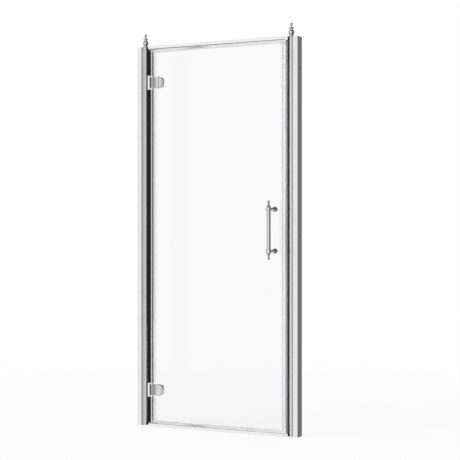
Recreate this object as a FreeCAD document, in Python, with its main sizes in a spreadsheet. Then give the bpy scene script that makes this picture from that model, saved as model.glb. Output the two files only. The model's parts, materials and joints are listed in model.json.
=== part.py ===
import FreeCAD, Part
import math
import os
from types import SimpleNamespace

import Sketcher
from FreeCAD import Placement, Rotation, Vector

# Driving sizes of the door, in millimetres. X runs across the opening, the front faces -Y, Z is up,
# and the origin is the middle of the sill's base. "place" is a distance inwards from the wall.
SIZES = {
    # opening and posts
    "overall_width": 886,
    "post_height": 1900,
    "slide_travel": 10,
    "slide_gap": 0.5,
    # wall channel
    "channel_depth": 50,
    "channel_reach": 23,
    "channel_wall": 2,
    "channel_drop": 2,
    "wall_hole_radius": 2.6,
    "wall_hole_first": 150,
    "wall_hole_step": 800,
    "clamp_first": 130,
    "clamp_step": 820,
    "clamp_place": 17,
    "clamp_radius": 2,
    "clamp_head_radius": 4.2,
    "clamp_head_thick": 2.4,
    "clamp_nut_width": 8,
    "clamp_nut_thick": 4,
    # pillar
    "pillar_width": 67,
    "pillar_wall": 2,
    "tongue_place": 3,
    "web_place": 22,
    "column_place": 38.8,
    "column_forward": 10.6,
    "column_radius": 19.5,
    "bead_radius": 5.2,
    "cap_thick": 3,
    "cap_plug": 8,
    "plug_gap": 0.3,
    "plug_end": 58,
    # finial: heights are above the cap
    "finial_foot_radius": 14,
    "finial_foot_top": 2.5,
    "finial_neck_radius": 9,
    "finial_neck_height": 8.5,
    "finial_cove_radius": 9,
    "finial_bulb_radius": 14.4,
    "finial_bulb_top": 33,
    "finial_waist_radius": 6,
    "finial_waist_length": 1.5,
    "finial_disc_radius": 12.5,
    "finial_disc_height": 37.5,
    "finial_disc_thick": 2.5,
    "finial_stem_radius": 4,
    "finial_stem_height": 48,
    "finial_flare_radius": 13,
    "finial_tip_radius": 7,
    "finial_tip_height": 58.5,
    "stud_radius": 3,
    "stud_reach": 12,
    "stud_end_gap": 1,
    # rails
    "top_rail_height": 16,
    "sill_height": 14,
    "rail_back": 12,
    "rail_wall": 2,
    "lip_thick": 3,
    "lip_reach": 10,
    "block_length": 20,
    "block_gap": 0.2,
    "rail_screw_radius": 2.5,
    "rail_screw_head_radius": 3.8,
    "rail_screw_head_thick": 3,
    "rail_screw_length": 14,
    # glass
    "glass_thick": 6,
    "glass_side_gap": 21,
    "glass_end_gap": 8,
    "glass_hole_radius": 6,
    # hinges
    "hinge_end_distance": 180,
    "hinge_axis_out": 11,
    "hinge_axis_forward": 10,
    "bracket_height": 72,
    "bracket_depth": 26,
    "bracket_thick": 3,
    "bracket_corner": 4,
    "ear_thick": 10,
    "ear_radius": 8,
    "bracket_screw_radius": 2.5,
    "bracket_screw_head_radius": 5,
    "bracket_screw_spacing": 30,
    "backing_thick": 6,
    "backing_depth": 20,
    "backing_height": 46,
    "knuckle_radius": 7.4,
    "knuckle_height": 50,
    "pin_radius": 3,
    "bush_radius": 4.6,
    "bush_flange_radius": 7,
    "bush_flange_thick": 0.8,
    "bush_length": 24,
    "leaf_disc_radius": 30,
    "leaf_disc_place": 40,
    "leaf_thick": 9.8,
    "leaf_edge_bevel": 3,
    "back_plate_margin": 1,
    "back_plate_thick": 8,
    "back_plate_edge": 3,
    "gasket_thick": 1.2,
    "gasket_inset": 0.8,
    "leaf_screw_radius": 3,
    "leaf_screw_head_radius": 5.5,
    "leaf_screw_spacing": 30,
    "leaf_thread_depth": 7,
    "thread_end_gap": 1,
    # seals
    "seal_wall": 1,
    "seal_grip": 10,
    "seal_neck": 6,
    "seal_fin_thick": 1.6,
    "seal_gap": 0.5,
    "magnet_house_width": 12.7,
    "magnet_house_depth": 10,
    "magnet_width": 5,
    "strike_thick": 3.8,
    "strike_depth": 12,
    "strike_magnet_thick": 1.8,
    "stop_seal_height": 6,
    "stop_seal_inset": 1,
    "stop_seal_base": 1.5,
    "stop_seal_nose": 2,
    "drip_base_thick": 1.5,
    "hinge_seal_gap": 1,
    # handle
    "handle_edge": 42.5,
    "handle_height": 980,
    "handle_centres": 200,
    "handle_reach": 65,
    "bar_radius": 9.75,
    "collar_radius": 13.5,
    "collar_height": 18,
    "collar_edge": 3,
    "bar_overhang": 11,
    "end_foot_height": 2,
    "end_neck_radius": 4,
    "end_neck_height": 20,
    "end_cove_radius": 14,
    "end_ball_radius": 5.6,
    "end_ball_height": 29,
    "standoff_radius": 5.5,
    "standoff_flare_radius": 8.5,
    "standoff_flare": 8,
    "standoff_lip": 1.5,
    "rose_radius": 12.5,
    "rose_thick": 8,
    "rose_edge": 3,
    "washer_radius": 11,
    "washer_thick": 1,
    "bolt_radius": 3,
    "bolt_head_radius": 5,
    "bolt_head_thick": 4,
    "bolt_thread_depth": 13,
    # fits
    "fixed_fit": 0.05,
    "running_fit": 0.05,
    "loose_fit": 0.2,
}


class Size:
    """A length that carries the sheet's expression beside its present value."""

    def __init__(self, text, value):
        self.text = text
        self.value = value

    def __add__(self, other):
        other = sized(other)
        return Size(f"({self.text} + {other.text})", self.value + other.value)

    def __sub__(self, other):
        other = sized(other)
        return Size(f"({self.text} - {other.text})", self.value - other.value)

    def __mul__(self, other):
        other = sized(other)
        return Size(f"({self.text} * {other.text})", self.value * other.value)

    def __truediv__(self, other):
        other = sized(other)
        return Size(f"({self.text} / {other.text})", self.value / other.value)

    def __radd__(self, other):
        return sized(other) + self

    def __rsub__(self, other):
        return sized(other) - self

    def __rmul__(self, other):
        return sized(other) * self

    def __neg__(self):
        return self * -1


def sized(number):
    return number if isinstance(number, Size) else Size(f"({float(number)})", float(number))


def root(size):
    return Size(f"sqrt({size.text})", math.sqrt(size.value))


doc = FreeCAD.newDocument("pivot_shower_door")
sheet = doc.addObject("Spreadsheet::Sheet", "sizes")
for row, (name, number) in enumerate(SIZES.items(), start=1):
    sheet.set(f"A{row}", name)
    sheet.set(f"B{row}", str(number))
    sheet.setAlias(f"B{row}", name)
doc.recompute()
s = SimpleNamespace(**{name: Size(f"sizes.{name}", number) for name, number in SIZES.items()})

nodes = []

# Turns that lay a piece's own Z axis along another axis.
UPRIGHT = Rotation()
UPSIDE_DOWN = Rotation(Vector(1, 0, 0), 180)
ALONG_X = Rotation(Vector(0, 1, 0), 90)
AGAINST_X = Rotation(Vector(0, 1, 0), -90)
ALONG_Y = Rotation(Vector(1, 0, 0), -90)
AGAINST_Y = Rotation(Vector(1, 0, 0), 90)

TOUCHING = 0.01     # two places nearer than this are one, when edges are picked
KEY_SHARE = 0.7     # a key's corner from the screw's axis, as a share of the shank's radius
SOCKET_SHARE = 0.6  # a socket's depth, as a share of the head's height


# Drawing helpers

def node(label, piece):
    piece.Label = label
    nodes.append(piece)
    return piece


def place(piece, at, turn=UPRIGHT):
    piece.Placement = Placement(Vector(), turn)
    for axis, size in zip("xyz", at):
        piece.setExpression(f"Placement.Base.{axis}", sized(size).text)
    return piece


def body(name, at=(0, 0, 0), turn=UPRIGHT):
    return place(doc.addObject("PartDesign::Body", name), at, turn)


def rectangle(x0, y0, x1, y1):
    return [(x0, y0), (x1, y0), (x1, y1), (x0, y1)]


def arc_between(start, end, radius):
    """The short arc from start to end: counter-clockwise for a positive radius."""
    middle = (start + end) * 0.5
    chord = end - start
    rise = math.sqrt(max(radius * radius - chord.Length * chord.Length / 4, 0))
    side = Vector(-chord.y, chord.x, 0).normalize() * math.copysign(rise, radius)
    centre = middle + side
    first, last = (start, end) if radius > 0 else (end, start)
    angles = [math.atan2(point.y - centre.y, point.x - centre.x) for point in (first, last)]
    return Part.ArcOfCircle(Part.Circle(centre, Vector(0, 0, 1), abs(radius)), *angles)


def fix_point(sketch, geometry, point, x, y):
    for kind, size in (("DistanceX", sized(x)), ("DistanceY", sized(y))):
        index = sketch.addConstraint(Sketcher.Constraint(kind, -1, 1, geometry, point, size.value))
        sketch.setExpression(f"Constraints[{index}]", size.text)


def draw_outline(sketch, corners):
    """A closed outline of lines, and of arcs where a corner gives the radius of the arc that follows."""
    points = [Vector(sized(corner[0]).value, sized(corner[1]).value, 0) for corner in corners]
    ends = []
    for index, corner in enumerate(corners):
        start, end = points[index], points[(index + 1) % len(points)]
        radius = sized(corner[2]) if len(corner) > 2 else None
        if radius is None:
            geometry = sketch.addGeometry(Part.LineSegment(start, end), False)
            ends.append((geometry, 1, 2))
        else:
            geometry = sketch.addGeometry(arc_between(start, end, radius.value), False)
            ends.append((geometry, 1, 2) if radius.value > 0 else (geometry, 2, 1))
    for index, (geometry, start, end) in enumerate(ends):
        following, following_start, _ = ends[(index + 1) % len(ends)]
        sketch.addConstraint(Sketcher.Constraint("Coincident", geometry, end, following, following_start))
    for (geometry, start, _), corner in zip(ends, corners):
        fix_point(sketch, geometry, start, corner[0], corner[1])
        if len(corner) > 2:
            radius = sized(corner[2])
            index = sketch.addConstraint(Sketcher.Constraint("Radius", geometry, abs(radius.value)))
            sketch.setExpression(f"Constraints[{index}]", f"abs({radius.text})")


def draw_circle(sketch, x, y, radius):
    centre = Vector(sized(x).value, sized(y).value, 0)
    geometry = sketch.addGeometry(Part.Circle(centre, Vector(0, 0, 1), radius.value), False)
    fix_point(sketch, geometry, 3, x, y)
    index = sketch.addConstraint(Sketcher.Constraint("Radius", geometry, radius.value))
    sketch.setExpression(f"Constraints[{index}]", radius.text)


def sketch_on(owner, role, outlines=(), circles=(), lift=0):
    sketch = owner.newObject("Sketcher::SketchObject", f"{owner.Name}_sketch")
    plane = next(item for item in owner.Origin.OriginFeatures if item.Role == role)
    sketch.AttachmentSupport = [(plane, "")]
    sketch.MapMode = "FlatFace"
    sketch.setExpression("AttachmentOffset.Base.z", sized(lift).text)
    for corners in outlines:
        draw_outline(sketch, corners)
    for circle in circles:
        draw_circle(sketch, *circle)
    return sketch


def feature(owner, kind, sketch, length=None, backwards=False):
    """A pad or pocket of a sketch; a pocket with no length goes through all."""
    step = owner.newObject(f"PartDesign::{kind}", f"{owner.Name}_{kind.lower()}")
    step.Profile = sketch
    step.Reversed = backwards
    if length is None:
        step.Type = "ThroughAll"
    else:
        step.setExpression("Length", sized(length).text)
    return step


def pad(owner, role, length, outlines=(), circles=(), lift=0, backwards=False):
    return feature(owner, "Pad", sketch_on(owner, role, outlines, circles, lift), length, backwards)


def pocket(owner, role, length=None, outlines=(), circles=(), lift=0, backwards=False):
    return feature(owner, "Pocket", sketch_on(owner, role, outlines, circles, lift), length, backwards)


def turned(name, corners, at=(0, 0, 0), turn=UPRIGHT):
    """A body turned about its own Z axis: corners are (radius, height)."""
    piece = body(name, at, turn)
    step = piece.newObject("PartDesign::Revolution", f"{name}_revolution")
    sketch = sketch_on(piece, "XZ_Plane", [corners])
    step.Profile = sketch
    step.ReferenceAxis = (sketch, ["V_Axis"])
    step.Angle = 360
    return piece


def dress(owner, kind, prop, size, chosen):
    """Rounds or bevels the edges of the tip that chosen picks."""
    doc.recompute()
    tip = owner.Tip
    names = [f"Edge{index}" for index, edge in enumerate(tip.Shape.Edges, start=1) if chosen(edge)]
    step = owner.newObject(f"PartDesign::{kind}", f"{owner.Name}_{kind.lower()}")
    step.Base = (tip, names)
    step.setExpression(prop, size.text)
    return step


def flat_at(edge, axis, value):
    box = edge.BoundBox
    low, high = {"x": (box.XMin, box.XMax), "y": (box.YMin, box.YMax), "z": (box.ZMin, box.ZMax)}[axis]
    return abs(low - value) < TOUCHING and abs(high - value) < TOUCHING


def block(name, x0, x1, y0, y1, z0, z1):
    spans = [sorted((sized(first), sized(last)), key=lambda size: size.value)
             for first, last in ((x0, x1), (y0, y1), (z0, z1))]
    piece = place(doc.addObject("Part::Box", name), [low for low, high in spans])
    for prop, (low, high) in zip(("Length", "Width", "Height"), spans):
        piece.setExpression(prop, (high - low).text)
    return piece


def rod(name, at, turn, radius, length):
    piece = place(doc.addObject("Part::Cylinder", name), at, turn)
    piece.setExpression("Radius", sized(radius).text)
    piece.setExpression("Height", sized(length).text)
    return piece


def cut(name, base, tools):
    piece = doc.addObject("Part::Cut", name)
    piece.Base = base
    piece.Tool = tools[0]
    if len(tools) > 1:
        piece.Tool = doc.addObject("Part::MultiFuse", f"{name}_tools")
        piece.Tool.Shapes = tools
    return piece


def group(label, pieces):
    together = doc.addObject("Part::Compound", f"{label}_group")
    together.Links = pieces
    return node(label, together)


def copies(name, piece, places):
    """Placed copies of one piece; each place is (at, turn)."""
    links = []
    for index, (at, turn) in enumerate(places, start=1):
        link = doc.addObject("App::Link", f"{name}_{index}")
        link.LinkedObject = piece
        links.append(place(link, at, turn))
    return links


# Places shared by several pieces

def up_the_post(first, step):
    """Three heights: the lowest, one a step above it, and one as far below the top as the lowest is up."""
    return [first, first + step, s.post_height - first]


SIDES = (("left", 1), ("right", -1))
half_width = s.overall_width / 2
half_depth = s.channel_depth / 2
front = -(s.column_forward + s.column_radius)
tongue_face = half_depth - s.channel_wall - s.slide_gap
tongue_inside = tongue_face - s.pillar_wall
pillar_inside = s.pillar_width - s.pillar_wall
rail_underside = s.post_height - s.top_rail_height
lip_front = s.rail_back - s.lip_thick
half_glass = s.glass_thick / 2
glass_place = s.pillar_width + s.glass_side_gap
glass_bottom = s.sill_height + s.glass_end_gap
glass_top = rail_underside - s.glass_end_gap
axis_place = s.pillar_width + s.hinge_axis_out
clamp_heights = up_the_post(s.clamp_first, s.clamp_step)
wall_hole_heights = up_the_post(s.wall_hole_first, s.wall_hole_step)
HINGES = (("upper", s.post_height - s.hinge_end_distance), ("lower", s.hinge_end_distance))


def across(side, distance):
    """The X of a place that lies a distance inwards from one wall."""
    return side * (distance - half_width)


axis_x = across(1, axis_place)
axis_y = -s.hinge_axis_forward
handle_x = across(-1, glass_place + s.handle_edge)
handle_y = -half_glass - s.handle_reach
handle_heights = [s.handle_height + s.handle_centres / 2 * sign for sign in (1, -1)]


# Wall channels, pillars and their fasteners

def make_wall_channel(name, side):
    """A U of thin metal, open towards the door, with wall-screw holes and clamp-screw holes."""
    profile = body(f"{name}_wall_channel_profile")
    inner = half_depth - s.channel_wall
    reach = across(side, s.channel_reach)
    wall = across(side, 0)
    base = across(side, s.channel_wall)
    pad(profile, "XY_Plane", s.post_height - s.channel_drop, [[
        (wall, -half_depth), (reach, -half_depth), (reach, -inner), (base, -inner),
        (base, inner), (reach, inner), (reach, half_depth), (wall, half_depth)]])
    along = ALONG_X if side > 0 else AGAINST_X
    holes = [rod(f"{name}_wall_hole", (wall, 0, height), along, s.wall_hole_radius, s.channel_wall)
             for height in wall_hole_heights]
    holes += [rod(f"{name}_clamp_hole", (across(side, s.clamp_place), inner, height), ALONG_Y,
                  s.clamp_radius + s.fixed_fit, s.channel_wall) for height in clamp_heights]
    node(f"{name}_wall_channel", cut(f"{name}_wall_channel_bored", profile, holes))


def make_clamps(name, side, screw, nut):
    x = across(side, s.clamp_place)
    seats = [((x, half_depth, height), AGAINST_Y) for height in clamp_heights]
    group(f"{name}_clamp_screws", copies(f"{name}_clamp_screw", screw, seats))
    nut_face = tongue_inside - s.loose_fit
    seats = [((x, nut_face, height), AGAINST_Y) for height in clamp_heights]
    group(f"{name}_clamp_nuts", copies(f"{name}_clamp_nut", nut, seats))


def pad_pillar_outline(piece, side, length):
    """The box, the round column and the inner bead that make the pillar's outline."""
    column_x = across(side, s.column_place)
    bead_x = across(side, s.pillar_width - s.bead_radius)
    bead_y = front + s.bead_radius
    pad(piece, "XY_Plane", length, [rectangle(
        across(side, s.tongue_place), -tongue_face, across(side, s.pillar_width), tongue_face)])
    pad(piece, "XY_Plane", length, circles=[(column_x, -s.column_forward, s.column_radius)])
    pad(piece, "XY_Plane", length, [rectangle(
        across(side, s.pillar_width - 2 * s.bead_radius), bead_y,
        across(side, s.pillar_width), -tongue_inside)])
    pad(piece, "XY_Plane", length, circles=[(bead_x, bead_y, s.bead_radius)])


def make_pillar(name, side):
    """A hollow extrusion: an open tongue in the wall channel, a box chamber and a round column."""
    profile = body(f"{name}_pillar_profile", (0, 0, s.cap_thick))
    pad_pillar_outline(profile, side, s.post_height - 2 * s.cap_thick)
    for outer, inner in ((s.tongue_place, s.web_place), (s.web_place + s.pillar_wall, pillar_inside)):
        pocket(profile, "XY_Plane", None, [rectangle(
            across(side, outer), -tongue_inside, across(side, inner), tongue_inside)], backwards=True)
    bore = s.column_radius - s.pillar_wall
    drop = tongue_inside - s.column_forward
    half_chord = root(bore * bore - drop * drop)
    column_x = across(side, s.column_place)
    pocket(profile, "XY_Plane", None, [[
        (column_x - side * half_chord, -tongue_inside, side * bore),
        (column_x + side * half_chord, -tongue_inside)]], backwards=True)
    holes = []
    slot_radius = s.clamp_radius + 2 * s.loose_fit
    for height in clamp_heights:
        start, end = (across(side, s.clamp_place - s.slide_travel), across(side, s.clamp_place))
        holes.append(block(f"{name}_slot", start, end, tongue_inside, tongue_face,
                           height - slot_radius, height + slot_radius))
        holes += [rod(f"{name}_slot_end", (x, tongue_inside, height), ALONG_Y, slot_radius, s.pillar_wall)
                  for x in (start, end)]
    inwards = ALONG_X if side > 0 else AGAINST_X
    for height in (s.sill_height / 2, s.post_height - s.top_rail_height / 2):
        holes.append(rod(f"{name}_rail_hole", (across(side, pillar_inside), axis_y, height), inwards,
                         s.rail_screw_radius + s.loose_fit, s.pillar_wall))
    if side > 0:
        for _, middle in HINGES:
            holes += [rod("bracket_hole", (across(side, pillar_inside), axis_y, height), inwards,
                          s.bracket_screw_radius + s.loose_fit, s.pillar_wall)
                      for height in bracket_screw_heights(middle)]
    node(f"{name}_pillar", cut(f"{name}_pillar_bored", profile, holes))


def make_pillar_cap(label, side, foot):
    """A plate the shape of the pillar with a plug that sits in the chamber; a top cap holds the stud."""
    height = 0 if foot else s.post_height - s.cap_thick
    cap = body(label, (0, 0, height))
    pad_pillar_outline(cap, side, s.cap_thick)
    inside = tongue_inside - s.plug_gap
    plug = rectangle(across(side, s.web_place + s.pillar_wall + s.plug_gap), -inside,
                     across(side, s.plug_end), inside)
    if foot:
        pad(cap, "XY_Plane", s.cap_plug + s.cap_thick, [plug])
    else:
        pad(cap, "XY_Plane", s.cap_plug, [plug], backwards=True)
        pocket(cap, "XY_Plane", s.cap_plug + s.cap_thick, lift=s.cap_thick, circles=[
            (across(side, s.column_place), -s.column_forward, s.stud_radius + s.fixed_fit)])
    node(label, cap)


def make_finial(name, side):
    """A turned finial: foot, cove, bulb, waist, disc, stem and ball tip."""
    bore = s.stud_radius + s.fixed_fit
    stem_meets_tip = s.finial_tip_height - root(
        s.finial_tip_radius * s.finial_tip_radius - s.finial_stem_radius * s.finial_stem_radius)
    node(f"{name}_finial", turned(f"{name}_finial_turning", [
        (bore, 0),
        (s.finial_foot_radius, 0),
        (s.finial_foot_radius, s.finial_foot_top, -s.finial_cove_radius),
        (s.finial_neck_radius, s.finial_neck_height, s.finial_bulb_radius),
        (s.finial_waist_radius, s.finial_bulb_top),
        (s.finial_waist_radius, s.finial_bulb_top + s.finial_waist_length),
        (s.finial_disc_radius, s.finial_disc_height),
        (s.finial_disc_radius, s.finial_disc_height + s.finial_disc_thick, -s.finial_flare_radius),
        (s.finial_stem_radius, s.finial_stem_height),
        (s.finial_stem_radius, stem_meets_tip, s.finial_tip_radius),
        (s.finial_tip_radius, s.finial_tip_height, s.finial_tip_radius),
        (0, s.finial_tip_height + s.finial_tip_radius),
        (0, s.stud_reach + s.stud_end_gap),
        (bore, s.stud_reach + s.stud_end_gap),
    ], (across(side, s.column_place), -s.column_forward, s.post_height)))


def make_finial_studs():
    low = s.post_height - s.cap_thick - s.cap_plug
    length = s.cap_thick + s.cap_plug + s.stud_reach
    group("finial_studs", [
        rod(f"{name}_stud", (across(side, s.column_place), -s.column_forward, low), UPRIGHT,
            s.stud_radius, length)
        for name, side in SIDES])


# Rails

def make_rails():
    """Hollow rails between the pillars, each with a lip behind the glass for the door to close on."""
    length = s.overall_width - 2 * s.pillar_width
    start = (across(1, s.pillar_width), 0, 0)
    wall = s.rail_wall
    top = body("top_rail", start)
    lip_end = rail_underside - s.lip_reach
    pad(top, "YZ_Plane", length, [
        [(front, rail_underside), (lip_front, rail_underside), (lip_front, lip_end), (s.rail_back, lip_end),
         (s.rail_back, s.post_height), (front, s.post_height)],
        rectangle(front + wall, rail_underside + wall, s.rail_back - wall, s.post_height - wall)])
    node("top_rail", top)
    sill = body("bottom_rail", start)
    lip_end = s.sill_height + s.lip_reach
    pad(sill, "YZ_Plane", length, [
        [(front, 0), (s.rail_back, 0), (s.rail_back, lip_end), (lip_front, lip_end),
         (lip_front, s.sill_height), (front, s.sill_height)],
        rectangle(front + wall, wall, s.rail_back - wall, s.sill_height - wall)])
    node("bottom_rail", sill)
    for label, low, seal_front in (
            ("top_stop_seal", rail_underside - s.lip_reach + s.stop_seal_inset, half_glass + s.seal_gap),
            ("bottom_stop_seal", s.sill_height + s.lip_reach - s.stop_seal_inset - s.stop_seal_height,
             half_glass + s.seal_wall + s.seal_gap)):
        strip = body(label, (across(1, glass_place), 0, 0))
        high = low + s.stop_seal_height
        middle = (low + high) / 2
        base = lip_front - s.stop_seal_base
        nose = s.stop_seal_nose / 2
        pad(strip, "YZ_Plane", s.overall_width - 2 * glass_place, [[
            (lip_front, low), (lip_front, high), (base, high), (seal_front, middle + nose),
            (seal_front, middle - nose), (base, low)]])
        node(label, strip)


def make_rail_fixings(screw):
    """A block in each rail end and the screw that pulls it against the pillar's wall."""
    blocks = []
    seats = []
    inset = s.rail_wall + s.block_gap
    for name, side in SIDES:
        inwards = ALONG_X if side > 0 else AGAINST_X
        for level, low, high in (("bottom", sized(0), s.sill_height), ("top", rail_underside, s.post_height)):
            middle = (low + high) / 2
            face = across(side, s.pillar_width)
            solid = block(f"{name}_{level}_block_stock", face, across(side, s.pillar_width + s.block_length),
                          front + inset, s.rail_back - inset, low + inset, high - inset)
            hole = rod(f"{name}_{level}_block_hole", (face, axis_y, middle), inwards,
                       s.rail_screw_radius + s.fixed_fit, s.block_length)
            blocks.append(cut(f"{name}_{level}_block", solid, [hole]))
            seats.append(((across(side, pillar_inside), axis_y, middle), inwards))
    group("rail_corner_blocks", blocks)
    group("rail_screws", copies("rail_screw", screw, seats))


# Hinges

def bracket_screw_heights(middle):
    return [middle + s.bracket_screw_spacing / 2 * sign for sign in (1, -1)]


def pair_of_screws(spacing):
    return [spacing / 2 * sign for sign in (1, -1)]


def make_bracket(label, middle):
    """A plate on the pillar with two ears, above and below the knuckle, that hold the pin."""
    bracket = body(f"{label}_stock", (axis_x, axis_y, middle))
    tall = s.bracket_height / 2
    pad(bracket, "YZ_Plane", s.bracket_thick, [rectangle(
        -s.bracket_depth / 2, -tall, s.bracket_depth / 2, tall)], lift=-s.hinge_axis_out)
    dress(bracket, "Fillet", "Radius", s.bracket_corner, lambda edge: (
        edge.BoundBox.YLength < TOUCHING and edge.BoundBox.ZLength < TOUCHING))
    for lift in (tall - s.ear_thick, -tall):
        pad(bracket, "XY_Plane", s.ear_thick, [rectangle(
            -s.hinge_axis_out, -s.ear_radius, 0, s.ear_radius)], lift=lift)
        pad(bracket, "XY_Plane", s.ear_thick, circles=[(0, 0, s.ear_radius)], lift=lift)
    pocket(bracket, "XY_Plane", s.bracket_height, circles=[(0, 0, s.pin_radius + s.fixed_fit)], lift=tall)
    tip = s.bracket_screw_radius + s.loose_fit
    head = s.bracket_screw_head_radius + s.fixed_fit
    sink = s.bracket_screw_head_radius - s.bracket_screw_radius
    holes = [turned(f"{label}_countersink", [
        (0, 0), (head, 0), (tip, sink), (tip, s.bracket_thick), (0, s.bracket_thick)],
        (axis_x + s.bracket_thick - s.hinge_axis_out, axis_y, middle + height), AGAINST_X)
        for height in pair_of_screws(s.bracket_screw_spacing)]
    node(label, cut(f"{label}_bored", bracket, holes))


def leaf_outline(start, inset):
    """A neck that runs into a round disc, all inset by the same amount; start is the neck's end."""
    tall = s.knuckle_height / 2 - inset
    radius = s.leaf_disc_radius - inset
    meet = s.leaf_disc_place - root(radius * radius - tall * tall)
    return [(start, -tall), (meet, -tall, radius), (s.leaf_disc_place + radius, 0, radius), (meet, tall),
            (start, tall)]


def make_leaf(label, middle):
    """The front plate: a knuckle round the pin, a neck and a round disc, with a bevelled front edge."""
    leaf = body(label, (axis_x, axis_y, middle))
    back = s.hinge_axis_forward - half_glass - s.gasket_thick
    face = back - s.leaf_thick
    tall = s.knuckle_height / 2
    pad(leaf, "XZ_Plane", s.leaf_thick, [leaf_outline(0, sized(0))], lift=-back)
    dress(leaf, "Chamfer", "Size", s.leaf_edge_bevel, lambda edge: (
        flat_at(edge, "y", face.value) and edge.BoundBox.XMax > s.knuckle_radius.value))
    pad(leaf, "XY_Plane", s.knuckle_height, circles=[(0, 0, s.knuckle_radius)], lift=-tall)
    pocket(leaf, "XY_Plane", s.knuckle_height, circles=[(0, 0, s.bush_radius + s.fixed_fit)], lift=tall)
    pocket(leaf, "XZ_Plane", s.leaf_thread_depth, lift=-back, backwards=True, circles=[
        (s.leaf_disc_place, height, s.leaf_screw_radius + s.fixed_fit)
        for height in pair_of_screws(s.leaf_screw_spacing)])
    node(label, leaf)


def make_back_plate(label, middle):
    back = s.hinge_axis_forward + half_glass + s.gasket_thick + s.back_plate_thick
    plate = body(f"{label}_stock", (axis_x, axis_y, middle))
    start = s.leaf_disc_place - s.leaf_disc_radius - s.back_plate_margin
    pad(plate, "XZ_Plane", s.back_plate_thick, [leaf_outline(start, sized(0))], lift=-back)
    dress(plate, "Chamfer", "Size", s.back_plate_edge, lambda edge: flat_at(edge, "y", back.value))
    head = s.leaf_screw_head_radius
    holes = [turned(f"{label}_countersink", [
        (0, 0), (head + s.fixed_fit, 0), (s.leaf_screw_radius + s.fixed_fit, head - s.leaf_screw_radius),
        (s.leaf_screw_radius + s.fixed_fit, s.back_plate_thick), (0, s.back_plate_thick)],
        (axis_x + s.leaf_disc_place, axis_y + back, middle + height), AGAINST_Y)
        for height in pair_of_screws(s.leaf_screw_spacing)]
    node(label, cut(f"{label}_bored", plate, holes))


def make_gaskets(label, middle):
    """One sheet before the glass and one behind it, with clearance holes for the clamp screws."""
    sheets = []
    start = s.glass_side_gap - s.hinge_axis_out + s.gasket_inset / 2
    for where, face in (("front", s.hinge_axis_forward - half_glass),
                        ("back", s.hinge_axis_forward + half_glass + s.gasket_thick)):
        sheet_body = body(f"{label}_{where}", (axis_x, axis_y, middle))
        pad(sheet_body, "XZ_Plane", s.gasket_thick, [leaf_outline(start, s.gasket_inset)], lift=-face)
        pocket(sheet_body, "XZ_Plane", s.gasket_thick, lift=s.gasket_thick - face, circles=[
            (s.leaf_disc_place, height, s.leaf_screw_radius + s.loose_fit)
            for height in pair_of_screws(s.leaf_screw_spacing)])
        sheets.append(sheet_body)
    group(label, sheets)


def countersunk_screw(name, radius, head_radius, length):
    """Its head's face is at its own origin and it points along its own +Z."""
    sink = head_radius - radius
    screw = turned(name, [(0, 0), (head_radius, 0), (radius, sink), (radius, length), (0, length)])
    add_socket(screw, radius, sink)
    return screw


def headed_screw(name, radius, head_radius, head_thick, length):
    """The underside of its head is at its own origin and it points along its own +Z."""
    screw = turned(name, [(0, -head_thick), (head_radius, -head_thick), (head_radius, 0), (radius, 0),
                          (radius, length), (0, length)])
    add_socket(screw, radius, head_thick, lift=-head_thick)
    return screw


def add_socket(screw, shank_radius, head_height, lift=0):
    """A hexagon socket for a key, in the head's face."""
    corner = shank_radius * KEY_SHARE
    hexagon = [(corner * math.cos(math.radians(angle)), corner * math.sin(math.radians(angle)))
               for angle in range(0, 360, 60)]
    pocket(screw, "XY_Plane", head_height * SOCKET_SHARE, [hexagon], lift=lift, backwards=True)


def make_hinges():
    for name, middle in HINGES:
        make_bracket(f"{name}_hinge_bracket", middle)
        node(f"{name}_hinge_pin", rod(f"{name}_pin", (axis_x, axis_y, middle - s.bracket_height / 2), UPRIGHT,
                                      s.pin_radius, s.bracket_height))
        make_leaf(f"{name}_hinge_leaf", middle)
        make_back_plate(f"{name}_hinge_back_plate", middle)
        make_gaskets(f"{name}_hinge_gaskets", middle)
    seat = s.knuckle_height / 2
    bore = s.pin_radius + s.running_fit
    bush = turned("bush", [
        (bore, seat - s.bush_length), (s.bush_radius, seat - s.bush_length), (s.bush_radius, seat),
        (s.bush_flange_radius, seat), (s.bush_flange_radius, seat + s.bush_flange_thick),
        (bore, seat + s.bush_flange_thick)])
    group("hinge_bushes", copies("hinge_bush", bush, [
        ((axis_x, axis_y, middle), turn) for _, middle in HINGES for turn in (UPRIGHT, UPSIDE_DOWN)]))
    plate_face = across(1, s.pillar_width + s.bracket_thick)
    screw = countersunk_screw("bracket_screw", s.bracket_screw_radius, s.bracket_screw_head_radius,
                              s.bracket_thick + s.pillar_wall + s.backing_thick)
    group("bracket_screws", copies("bracket_screw_copy", screw, [
        ((plate_face, axis_y, height), AGAINST_X)
        for _, middle in HINGES for height in bracket_screw_heights(middle)]))
    plates = []
    for name, middle in HINGES:
        seat = across(1, pillar_inside)
        stock = block(f"{name}_backing_stock", seat - s.backing_thick, seat,
                      axis_y - s.backing_depth / 2, axis_y + s.backing_depth / 2,
                      middle - s.backing_height / 2, middle + s.backing_height / 2)
        holes = [rod(f"{name}_backing_hole", (seat, axis_y, height), AGAINST_X,
                     s.bracket_screw_radius + s.fixed_fit, s.backing_thick)
                 for height in bracket_screw_heights(middle)]
        plates.append(cut(f"{name}_backing", stock, holes))
    group("hinge_backing_plates", plates)
    back = half_glass + s.gasket_thick + s.back_plate_thick
    length = back + half_glass + s.gasket_thick + s.leaf_thread_depth - s.thread_end_gap
    screw = countersunk_screw("leaf_screw", s.leaf_screw_radius, s.leaf_screw_head_radius, length)
    group("hinge_clamp_screws", copies("leaf_screw_copy", screw, [
        ((axis_x + s.leaf_disc_place, back, middle + height), AGAINST_Y)
        for _, middle in HINGES for height in pair_of_screws(s.leaf_screw_spacing)]))


# Glass, its sleeves and seals

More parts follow.
